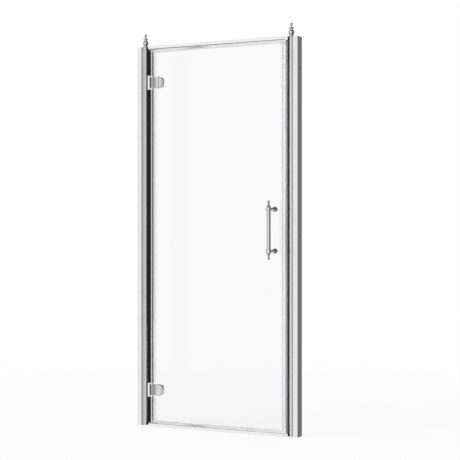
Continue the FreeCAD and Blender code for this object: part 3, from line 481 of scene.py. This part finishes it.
def makePosts():
    sizes = pillarSizes
    half = sizes["halfDepth"]
    tongue = [(sizes["tonguePlace"], half - sizes["wall"]), (sizes["webPlace"], half - sizes["wall"]),
              (sizes["webPlace"], sizes["wall"] - half), (sizes["tonguePlace"], sizes["wall"] - half)]
    # A near-black strip filling the groove: painted shade of the groove, not a part of the door.
    grooveShadeStrip = rectangle((columnPlace + sizes["columnRadius"] + sizes["gasketGap"], sizes["gasketFront"]),
                       (sizes["lipPlace"] - sizes["gasketGap"], sizes["grooveFloor"]))
    for side in sides:
        low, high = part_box(f"{side}_pillar")
        pillar = bmesh.new()
        put(pillar, extruded(pillarFront() + tongue, high.z - low.z), fromWall(side) @ at(0, 0, low.z))
        showPiece(f"{side}Pillar", pillar, "frame", "chromed_aluminium", [f"{side}_pillar"])
        strip = bmesh.new()
        put(strip, soften(extruded(grooveShadeStrip, high.z - low.z), sizes["gasketEdge"]),
            fromWall(side) @ at(0, 0, low.z))
        showPiece(f"{side}PillarShadeStrip", strip, "frame", "grey_rubber", [], blackRubber)
        for where, node in (("Top", "top_cap"), ("Foot", "foot_cap")):
            low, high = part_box(f"{side}_{node}")
            plate = low.z if where == "Foot" else high.z - sizes["capThick"]
            plugLow = plate + sizes["capThick"] if where == "Foot" else plate - sizes["plugDeep"]
            cap = bmesh.new()
            put(cap, soften(extruded(pillarFront(), sizes["capThick"]), sizes["capEdge"]),
                fromWall(side) @ at(0, 0, plate))
            put(cap, extruded(rectangle(*sizes["plug"]), sizes["plugDeep"]),
                fromWall(side) @ at(0, 0, plugLow))
            slot = "nylon" if where == "Foot" else "chromed_brass"
            showPiece(f"{side}{where}Cap", cap, "frame", slot, [f"{side}_{node}"])


# The finials: foot, cove, bulb, waist, disc, stem and ball tip, heights above the cap.
finialSizes = {"bore": 3.05 * mm, "boreDeep": 13 * mm, "footRadius": 14 * mm, "footTop": 2.5 * mm,
               "cove": 9 * mm, "neckRadius": 9 * mm, "neckHeight": 8.5 * mm, "bulb": 14.4 * mm,
               "waistRadius": 6 * mm, "waistLow": 33 * mm, "waistHigh": 34.5 * mm, "discRadius": 12.5 * mm,
               "discLow": 37.5 * mm, "discHigh": 40 * mm, "flare": 13 * mm, "stemRadius": 4 * mm,
               "stemHeight": 48 * mm, "tipRadius": 7 * mm, "tipHeight": 58.5 * mm, "edge": 0.6 * mm}


def makeFinials():
    sizes = finialSizes
    neck = sizes["tipHeight"] - math.sqrt(sizes["tipRadius"] ** 2 - sizes["stemRadius"] ** 2)
    outline = [
        (sizes["bore"], 0), (sizes["footRadius"] - sizes["edge"], 0, sizes["edge"]),
        (sizes["footRadius"], sizes["edge"]), (sizes["footRadius"], sizes["footTop"], -sizes["cove"]),
        (sizes["neckRadius"], sizes["neckHeight"], sizes["bulb"]),
        (sizes["waistRadius"], sizes["waistLow"]), (sizes["waistRadius"], sizes["waistHigh"]),
        (sizes["discRadius"] - sizes["edge"], sizes["discLow"], sizes["discHigh"] - sizes["discLow"]),
        (sizes["discRadius"] - sizes["edge"], sizes["discHigh"], -sizes["flare"]),
        (sizes["stemRadius"], sizes["stemHeight"]), (sizes["stemRadius"], neck, sizes["tipRadius"]),
        (sizes["tipRadius"], sizes["tipHeight"], sizes["tipRadius"]),
        (0, sizes["tipHeight"] + sizes["tipRadius"]), (0, sizes["boreDeep"]),
        (sizes["bore"], sizes["boreDeep"])]
    for side in sides:
        low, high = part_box(f"{side}_finial")
        finial = bmesh.new()
        put(finial, turned(outline, closed=True, steps=fineness["finial"]),
            at((low.x + high.x) / 2, (low.y + high.y) / 2, low.z))
        showPiece(f"{side}Finial", finial, "frame", "chromed_brass", [f"{side}_finial"])


# The rails, drawn end on, with the lip that the door closes on behind the glass. The face towards the door
# falls away to the back, and a short block at each end reaches into the pillar's groove.
railSizes = {"lipThick": 3 * mm, "lipReach": 10 * mm, "edge": 1.2 * mm, "edgeSteps": 3, "fall": 6 * mm,
             "slope": {"topRail": 3.6 * mm, "bottomRail": 1.4 * mm},
             "block": {"left": (7 * mm, -16 * mm), "right": (16 * mm, -27 * mm)}}      # length and front


def makeRails():
    for name, node, up in (("topRail", "top_rail", False), ("bottomRail", "bottom_rail", True)):
        low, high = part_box(node)
        lip = high.y - railSizes["lipThick"]
        way = 1 if up else -1
        tip, base = (high.z, low.z) if up else (low.z, high.z)
        shoulder = tip - way * railSizes["lipReach"]
        slope = railSizes["slope"][name]
        inner = shoulder - way * railSizes["fall"]
        outline = [(low.y, base), (high.y, base), (high.y, tip), (lip, tip), (lip, inner),
                   (low.y + slope + weld, shoulder), (low.y, shoulder - way * slope)]
        rail = bmesh.new()
        put(rail, soften(extruded(outline, high.x - low.x), railSizes["edge"], railSizes["edgeSteps"],
                         lambda edge: abs(edge.verts[0].co.z - edge.verts[1].co.z) > high.x),
            at(low.x, 0, 0) @ endOn)
        for side, (reach, front) in railSizes["block"].items():
            block = rectangle((front, base), (pillarSizes["lipFront"], shoulder))
            put(rail, extruded(block, reach), at(high.x if side == "right" else low.x - reach, 0, 0) @ endOn)
        showPiece(name, rail, "frame", "chromed_aluminium", [node], acrossChrome)


makeCamera()
makePosts()
makeFinials()
makeRails()
print("posts, finials and rails made")

# The hinges: a plate with two ears on the pillar, a pin, and a crowned leaf with its knuckle on the glass.
swing = next(joint for joint in frame["joints"] if joint["name"] == "door_swing")
axisX, axisY = swing["pos_m"][:2]
bracketSizes = {"thick": 3 * mm, "corner": 4 * mm, "edge": 0.8 * mm, "edgeSteps": 3, "earThick": 10 * mm,
                "earRadius": 8 * mm, "earEdge": 1.2 * mm, "footWide": 9 * mm, "sink": 0.6 * mm,
                "pinRadius": 3 * mm, "pinEdge": 0.6 * mm}
leafSizes = {"knuckle": 7.4 * mm, "knuckleHigh": 50 * mm, "knuckleEdge": 0.8 * mm, "disc": 29.5 * mm,
             "discPlace": 34 * mm, "screwPlace": 40 * mm, "front": 14 * mm, "back": 4.2 * mm, "edge": 3 * mm,
             "edgeSteps": 6, "crown": 2.4 * mm, "slices": 16, "backWide": 46 * mm, "backHigh": 48 * mm,
             "backCorner": 9 * mm, "backEdge": 1.2 * mm, "backEdgeSteps": 3}


def roundedRectangle(width, height, corner):
    x, y = width / 2, height / 2
    return [(corner - x, -y), (x - corner, -y, corner), (x, corner - y), (x, y - corner, corner),
            (x - corner, y), (corner - x, y, corner), (-x, y - corner), (-x, corner - y, corner)]


def makeBracket(which):
    sizes = bracketSizes
    low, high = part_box(f"{which}_hinge_bracket")
    middle = (low.z + high.z) / 2
    tall = high.z - low.z
    bracket = bmesh.new()
    plate = extruded(roundedRectangle(high.y - low.y, tall, sizes["corner"]), sizes["thick"])
    steps = sizes["edgeSteps"]
    soften(plate, sizes["edge"], steps, lambda edge: min(v.co.z for v in edge.verts) > sizes["thick"] / 2)
    put(bracket, plate, at(low.x, (low.y + high.y) / 2, middle) @ endOn)
    footBack = pillarSizes["lipFront"] + sizes["sink"]
    footWide, sink = sizes["footWide"], sizes["sink"]
    foot = extruded(roundedRectangle(footWide + sink, tall, sizes["corner"]), footBack - low.y)
    put(bracket, soften(foot, sizes["edge"], steps),
        at(low.x - (footWide - sink) / 2, footBack, middle) @ facingFront)
    start = low.x + sizes["thick"] - sizes["sink"] - axisX
    radius = sizes["earRadius"]
    ear = extruded([(start, -radius), (0, -radius, radius), (0, radius), (start, radius)], sizes["earThick"])
    soften(ear, sizes["earEdge"], steps, lambda edge: max(v.co.x for v in edge.verts) > start + weld)
    put(bracket, ear, at(axisX, axisY, high.z - sizes["earThick"]), at(axisX, axisY, low.z))
    showPiece(f"{which}HingeBracket", bracket, "frame", "chromed_brass", [f"{which}_hinge_bracket"])
    pin = bmesh.new()
    edge = sizes["pinEdge"]
    radius = sizes["pinRadius"]
    put(pin, turned([(0, 0), (radius - edge, 0, edge), (radius, edge), (radius, tall - edge, edge),
                     (radius - edge, tall), (0, tall)], steps=fineness["pin"]),
        at(axisX, axisY, low.z))
    showPiece(f"{which}HingePin", pin, "frame", "stainless_steel", [f"{which}_hinge_pin"])


def makeLeaf(which):
    sizes = leafSizes
    low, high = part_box(f"{which}_hinge_leaf")
    middle = (low.z + high.z) / 2
    tall = sizes["knuckleHigh"] / 2
    thick = sizes["front"] - sizes["back"]
    meet = sizes["discPlace"] - math.sqrt(sizes["disc"] ** 2 - tall ** 2)
    tip = sizes["discPlace"] + sizes["disc"]
    plate = extruded([(0, -tall), (meet, -tall, sizes["disc"]), (tip, 0, sizes["disc"]), (meet, tall),
                      (0, tall)], thick)
    soften(plate, sizes["edge"], sizes["edgeSteps"],
           lambda edge: min(v.co.z for v in edge.verts) > thick - weld
           and max(v.co.x for v in edge.verts) > weld)
    for cut in range(1, sizes["slices"]):
        bmesh.ops.bisect_plane(plate, geom=plate.verts[:] + plate.edges[:] + plate.faces[:], dist=weld,
                               plane_co=(tip * cut / sizes["slices"], 0, 0), plane_no=(1, 0, 0))
    for vert in plate.verts:      # the front is crowned: highest in the middle of the leaf
        if vert.co.z > thick / 2:
            vert.co.z -= sizes["crown"] * (2 * vert.co.x / tip - 1) ** 2
    leaf = bmesh.new()
    put(leaf, plate, at(axisX, -sizes["back"], middle) @ facingFront)
    edge = sizes["knuckleEdge"]
    radius = sizes["knuckle"]
    bore = bracketSizes["pinRadius"]
    put(leaf, turned([(bore, -tall), (radius - edge, -tall, edge), (radius, edge - tall),
                      (radius, tall - edge, edge), (radius - edge, tall), (bore, tall)], closed=True),
        at(axisX, axisY, middle))
    # The leaf takes the greyer chrome copy: painted shade.
    showPiece(f"{which}HingeLeaf", leaf, "door", "chromed_brass", [f"{which}_hinge_leaf"], softChrome)
    backLow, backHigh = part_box(f"{which}_hinge_back_plate")
    backing = bmesh.new()
    back = extruded(roundedRectangle(sizes["backWide"], sizes["backHigh"], sizes["backCorner"]),
                    backHigh.y - backLow.y)
    put(backing, soften(back, sizes["backEdge"], sizes["backEdgeSteps"]),
        at(backLow.x + sizes["backWide"] / 2, backLow.y, middle) @ facingBack)
    showPiece(f"{which}HingeBackPlate", backing, "door", "chromed_brass", [f"{which}_hinge_back_plate"])


for which in ("upper", "lower"):
    makeBracket(which)
    makeLeaf(which)
print("hinges made")

# The handle: a bar with two collars and two ball-tipped ends, on two standoffs with round roses on the pane.
handleSizes = {"barRadius": 9.75 * mm, "collarRadius": 13.5 * mm, "collarHigh": 18 * mm,
               "collarEdge": 3 * mm, "endFoot": 2 * mm, "endCove": 14 * mm, "endNeck": 4 * mm,
               "endNeckHeight": 16 * mm, "ballRadius": 5.6 * mm, "ballHeight": 24.5 * mm,
               "standoffRadius": 5.5 * mm, "standoffFlare": 8.5 * mm, "flareHigh": 8 * mm, "lip": 1.5 * mm,
               "roseRadius": 12.5 * mm, "roseRim": 1.2 * mm, "roseDome": 9 * mm, "roseTop": 7.5 * mm,
               "recess": 5.2 * mm, "recessFloor": 4 * mm, "bore": 3.05 * mm}


def makeHandle():
    sizes = handleSizes
    bar = middleOf("handle_bar")
    low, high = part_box("handle_bar")
    collarLow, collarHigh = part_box("handle_collars")
    heights = [collarLow.z + sizes["collarHigh"] / 2, collarHigh.z - sizes["collarHigh"] / 2]
    rod = bmesh.new()
    put(rod, turned([(0, low.z), (sizes["barRadius"], low.z), (sizes["barRadius"], high.z), (0, high.z)]),
        at(bar.x, bar.y, 0))
    showPiece("handleBar", rod, "door", "chromed_brass", ["handle_bar"])

    tall, edge, radius = sizes["collarHigh"] / 2, sizes["collarEdge"], sizes["collarRadius"]
    collars = bmesh.new()
    inner = sizes["barRadius"]
    put(collars, turned([(inner, -tall), (radius - edge, -tall, edge), (radius, edge - tall),
                         (radius, tall - edge, edge), (radius - edge, tall), (inner, tall)], closed=True),
        *[at(bar.x, bar.y, height) for height in heights])
    showPiece("handleCollars", collars, "door", "chromed_brass", ["handle_collars"])

    ball, ballHeight, neck = sizes["ballRadius"], sizes["ballHeight"], sizes["endNeck"]
    neckTop = ballHeight - math.sqrt(ball ** 2 - neck ** 2)
    ends = bmesh.new()
    put(ends, turned([(0, 0), (sizes["barRadius"], 0),
                      (sizes["barRadius"], sizes["endFoot"], -sizes["endCove"]),
                      (neck, sizes["endNeckHeight"]), (neck, neckTop, ball), (ball, ballHeight, ball),
                      (0, ballHeight + ball)]),
        at(bar.x, bar.y, high.z), at(bar.x, bar.y, low.z) @ Matrix.Rotation(math.radians(180), 4, "X"))
    # The handle's ends, standoffs and outer roses take the dark chrome copy: painted shade.
    showPiece("handleEnds", ends, "door", "chromed_brass", ["handle_ends"], darkChrome)

    roseLow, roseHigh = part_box("handle_outer_roses")
    reach = roseLow.y - bar.y - sizes["barRadius"] - sizes["lip"]
    flare, radius = sizes["standoffFlare"], sizes["standoffRadius"]
    standoffs = bmesh.new()
    put(standoffs, turned([(0, 0), (flare, 0), (flare, sizes["lip"]), (radius, sizes["flareHigh"]),
                           (radius, reach - sizes["flareHigh"]), (flare, reach), (0, reach)]),
        *[at(bar.x, roseLow.y, height) @ facingFront for height in heights])
    showPiece("handleStandoffs", standoffs, "door", "chromed_brass", ["handle_standoffs"], darkChrome)

    thick, radius = roseHigh.y - roseLow.y, sizes["roseRadius"]
    rim = [(sizes["bore"], 0), (radius, 0), (radius, sizes["roseRim"], sizes["roseDome"]),
           (sizes["roseTop"], thick)]
    roses = bmesh.new()
    put(roses, turned(rim + [(sizes["bore"], thick)], closed=True),
        *[at(bar.x, roseHigh.y, height) @ facingFront for height in heights])
    showPiece("handleOuterRoses", roses, "door", "chromed_brass", ["handle_outer_roses"], darkChrome)
    insideRoses = bmesh.new()
    put(insideRoses, turned(rim + [(sizes["recess"], thick), (sizes["recess"], sizes["recessFloor"]),
                                   (sizes["bore"], sizes["recessFloor"])], closed=True),
        *[at(bar.x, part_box("handle_inner_roses")[0].y, height) @ facingBack for height in heights])
    showPiece("handleInnerRoses", insideRoses, "door", "chromed_brass", ["handle_inner_roses"])


makeHandle()
print("handle made")

# The pane, with its upright edges ground, and the holes for its hinges and handle.
paneSizes = {"holeRadius": 6 * mm, "edge": 0.8 * mm, "screwSpacing": 30 * mm,
             "groundFrom": 1}      # metres: of the pane's edges only the upright ones are as long


def makePane():
    low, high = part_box("glass_panel")
    across = axisX + leafSizes["screwPlace"]
    holes = [(across, middleOf(f"{which}_hinge_leaf").z + sign * paneSizes["screwSpacing"] / 2)
             for which in ("upper", "lower") for sign in (1, -1)]
    roseLow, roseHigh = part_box("handle_outer_roses")
    radius = handleSizes["roseRadius"]
    holes += [(middleOf("handle_bar").x, height) for height in (roseLow.z + radius, roseHigh.z - radius)]
    outline = [(low.x, low.z), (high.x, low.z), (high.x, high.z), (low.x, high.z)]
    pane = bmesh.new()
    put(pane, soften(extruded(outline, high.y - low.y, [(x, z, paneSizes["holeRadius"]) for x, z in holes]),
                     paneSizes["edge"], 1, lambda edge: edge.calc_length() > paneSizes["groundFrom"]),
        at(0, high.y, 0) @ facingFront)
    showPiece("glassPane", pane, "door", "clear_glass", ["glass_panel"])


makePane()
print("pane made")

# The studio: a pale floor that fades into white, one large soft lamp, and a world that is white to look at.
# The metal mirrors the room's greys by their bearing (degrees), and a narrow grey screen shows in the glass
# by the hinges.
studio = {"floorRadius": 7, "floorSides": 96, "floorColour": (0.9, 0.9, 0.9, 1), "fadeFrom": 1.2,
          "fadeTo": 3.5, "shadowShare": 0.86, "ambient": 0.75, "lampPower": 120, "lampSize": 3.0,
          "lampPlace": (-2.6, -3.4, 4.2), "screenPlace": (-1.36, -2.0), "screenWide": 0.17,
          "screenHigh": 2.14, "screenGrey": 0.5, "screenFade": 3,
          "roomGreys": [(-180, 0.35), (-162, 0.28), (-146, 0.42), (-100, 0.60), (-60, 0.52), (-38, 0.52),
                        (-34, 1.0), (-22, 1.0), (-17, 0.7), (-11, 0.75), (-3, 1.0), (24, 1.0), (34, 0.5),
                        (45, 0.36), (60, 0.25), (88, 0.17), (120, 0.12), (143, 0.1), (149, 0.3), (155, 0.19),
                        (162, 0.2), (180, 0.35)],
          "steepFrom": 0.5, "steepFade": 4, "steepGrey": 0.45}


def makeFloor():
    material = bpy.data.materials.new("paleFloor")
    tree = Tree(material)
    place = tree.objectPlace()
    away = tree.add("ShaderNodeVectorMath", {"operation": "LENGTH"}, {0: place})["Value"]
    faded = ((away - studio["fadeFrom"]) / (studio["fadeTo"] - studio["fadeFrom"])).clamped()
    path = tree.add("ShaderNodeLightPath")
    seen = (path["Is Camera Ray"] + path["Is Transmission Ray"] + path["Is Glossy Ray"]).clamped()
    white = seen * (faded * (1 - studio["shadowShare"]) + studio["shadowShare"])
    lit = tree.add("ShaderNodeBsdfDiffuse", inputs={"Color": studio["floorColour"]})["BSDF"]
    glow = tree.add("ShaderNodeEmission", inputs={"Color": (1, 1, 1, 1), "Strength": 1})["Emission"]
    surface = tree.add("ShaderNodeMixShader", inputs={0: white, 1: lit, 2: glow})["Shader"]
    tree.add("ShaderNodeOutputMaterial", inputs={"Surface": surface})
    mesh = bmesh.new()
    bmesh.ops.create_circle(mesh, cap_ends=True, segments=studio["floorSides"], radius=studio["floorRadius"])
    floor = newObject("floor", mesh, material)
    floor.visible_glossy = False


def makeWorld():
    world = bpy.data.worlds.new("studioWorld")
    bpy.context.scene.world = world
    tree = Tree(world)
    way = tree.add("ShaderNodeSeparateXYZ", inputs={0: tree.add("ShaderNodeTexCoord")["Generated"]})
    turn = way["X"].math("ARCTAN2", way["X"], way["Y"] * -1) / math.tau + 0.5
    stops = [(angle / 360 + 0.5, grey) for angle, grey in studio["roomGreys"]]
    bearing = tree.add("ShaderNodeValToRGB", {"stops": stops}, {0: turn})["Color"]
    steep = patches(abs(way["Z"]), studio["steepFrom"], studio["steepFade"]) * (1 - studio["steepGrey"])
    room = tree.mixed(steep, bearing, (0, 0, 0, 1))
    path = tree.add("ShaderNodeLightPath")
    plain = (studio["ambient"],) * 3 + (1,)
    mirrored = path["Glossy Depth"].clamped()
    seen = (path["Is Camera Ray"] + path["Is Transmission Ray"] * (1 - mirrored)).clamped()
    shown = (path["Is Glossy Ray"] + path["Is Transmission Ray"]).clamped()
    colour = tree.mixed(seen, tree.mixed(shown, plain, room), (1, 1, 1, 1))
    background = tree.add("ShaderNodeBackground", inputs={"Color": colour, "Strength": 1})["Background"]
    tree.add("ShaderNodeOutputWorld", inputs={"Surface": background})


def makeScreen():
    wide, high = studio["screenWide"], studio["screenHigh"]
    material = bpy.data.materials.new("greyScreen")
    tree = Tree(material)
    across = tree.add("ShaderNodeSeparateXYZ", inputs={0: tree.objectPlace((1 / wide, 1, 1))})["X"]
    density = ((0.5 - abs(across)) * studio["screenFade"]).clamped()
    colour = (studio["screenGrey"],) * 3 + (1,)
    grey = tree.add("ShaderNodeEmission", inputs={"Color": colour, "Strength": 1})["Emission"]
    clear = tree.add("ShaderNodeBsdfTransparent")["BSDF"]
    surface = tree.add("ShaderNodeMixShader", inputs={0: density, 1: clear, 2: grey})["Shader"]
    tree.add("ShaderNodeOutputMaterial", inputs={"Surface": surface})
    mesh = bmesh.new()
    bmesh.ops.create_grid(mesh, x_segments=1, y_segments=1, size=0.5,
                          matrix=facingFront @ Matrix.Diagonal((wide, high, 1, 1)))
    screen = newObject("greyScreen", mesh, material)
    screen.location = (*studio["screenPlace"], high / 2)
    screen.visible_camera = False
    screen.visible_diffuse = False
    screen.visible_transmission = False
    screen.visible_shadow = False


def makeLamp():
    light = bpy.data.lights.new("softLamp", "AREA")
    light.shape = "DISK"
    light.size = studio["lampSize"]
    light.energy = studio["lampPower"]
    lamp = bpy.data.objects.new("softLamp", light)
    bpy.context.scene.collection.objects.link(lamp)
    lamp.location = studio["lampPlace"]
    aim = Vector((0, 0, cadHigh.z / 2)) - Vector(studio["lampPlace"])
    lamp.rotation_euler = aim.to_track_quat("-Z", "Y").to_euler()
    lamp.visible_glossy = False


makeFloor()
makeWorld()
makeScreen()
makeLamp()
print("studio made")
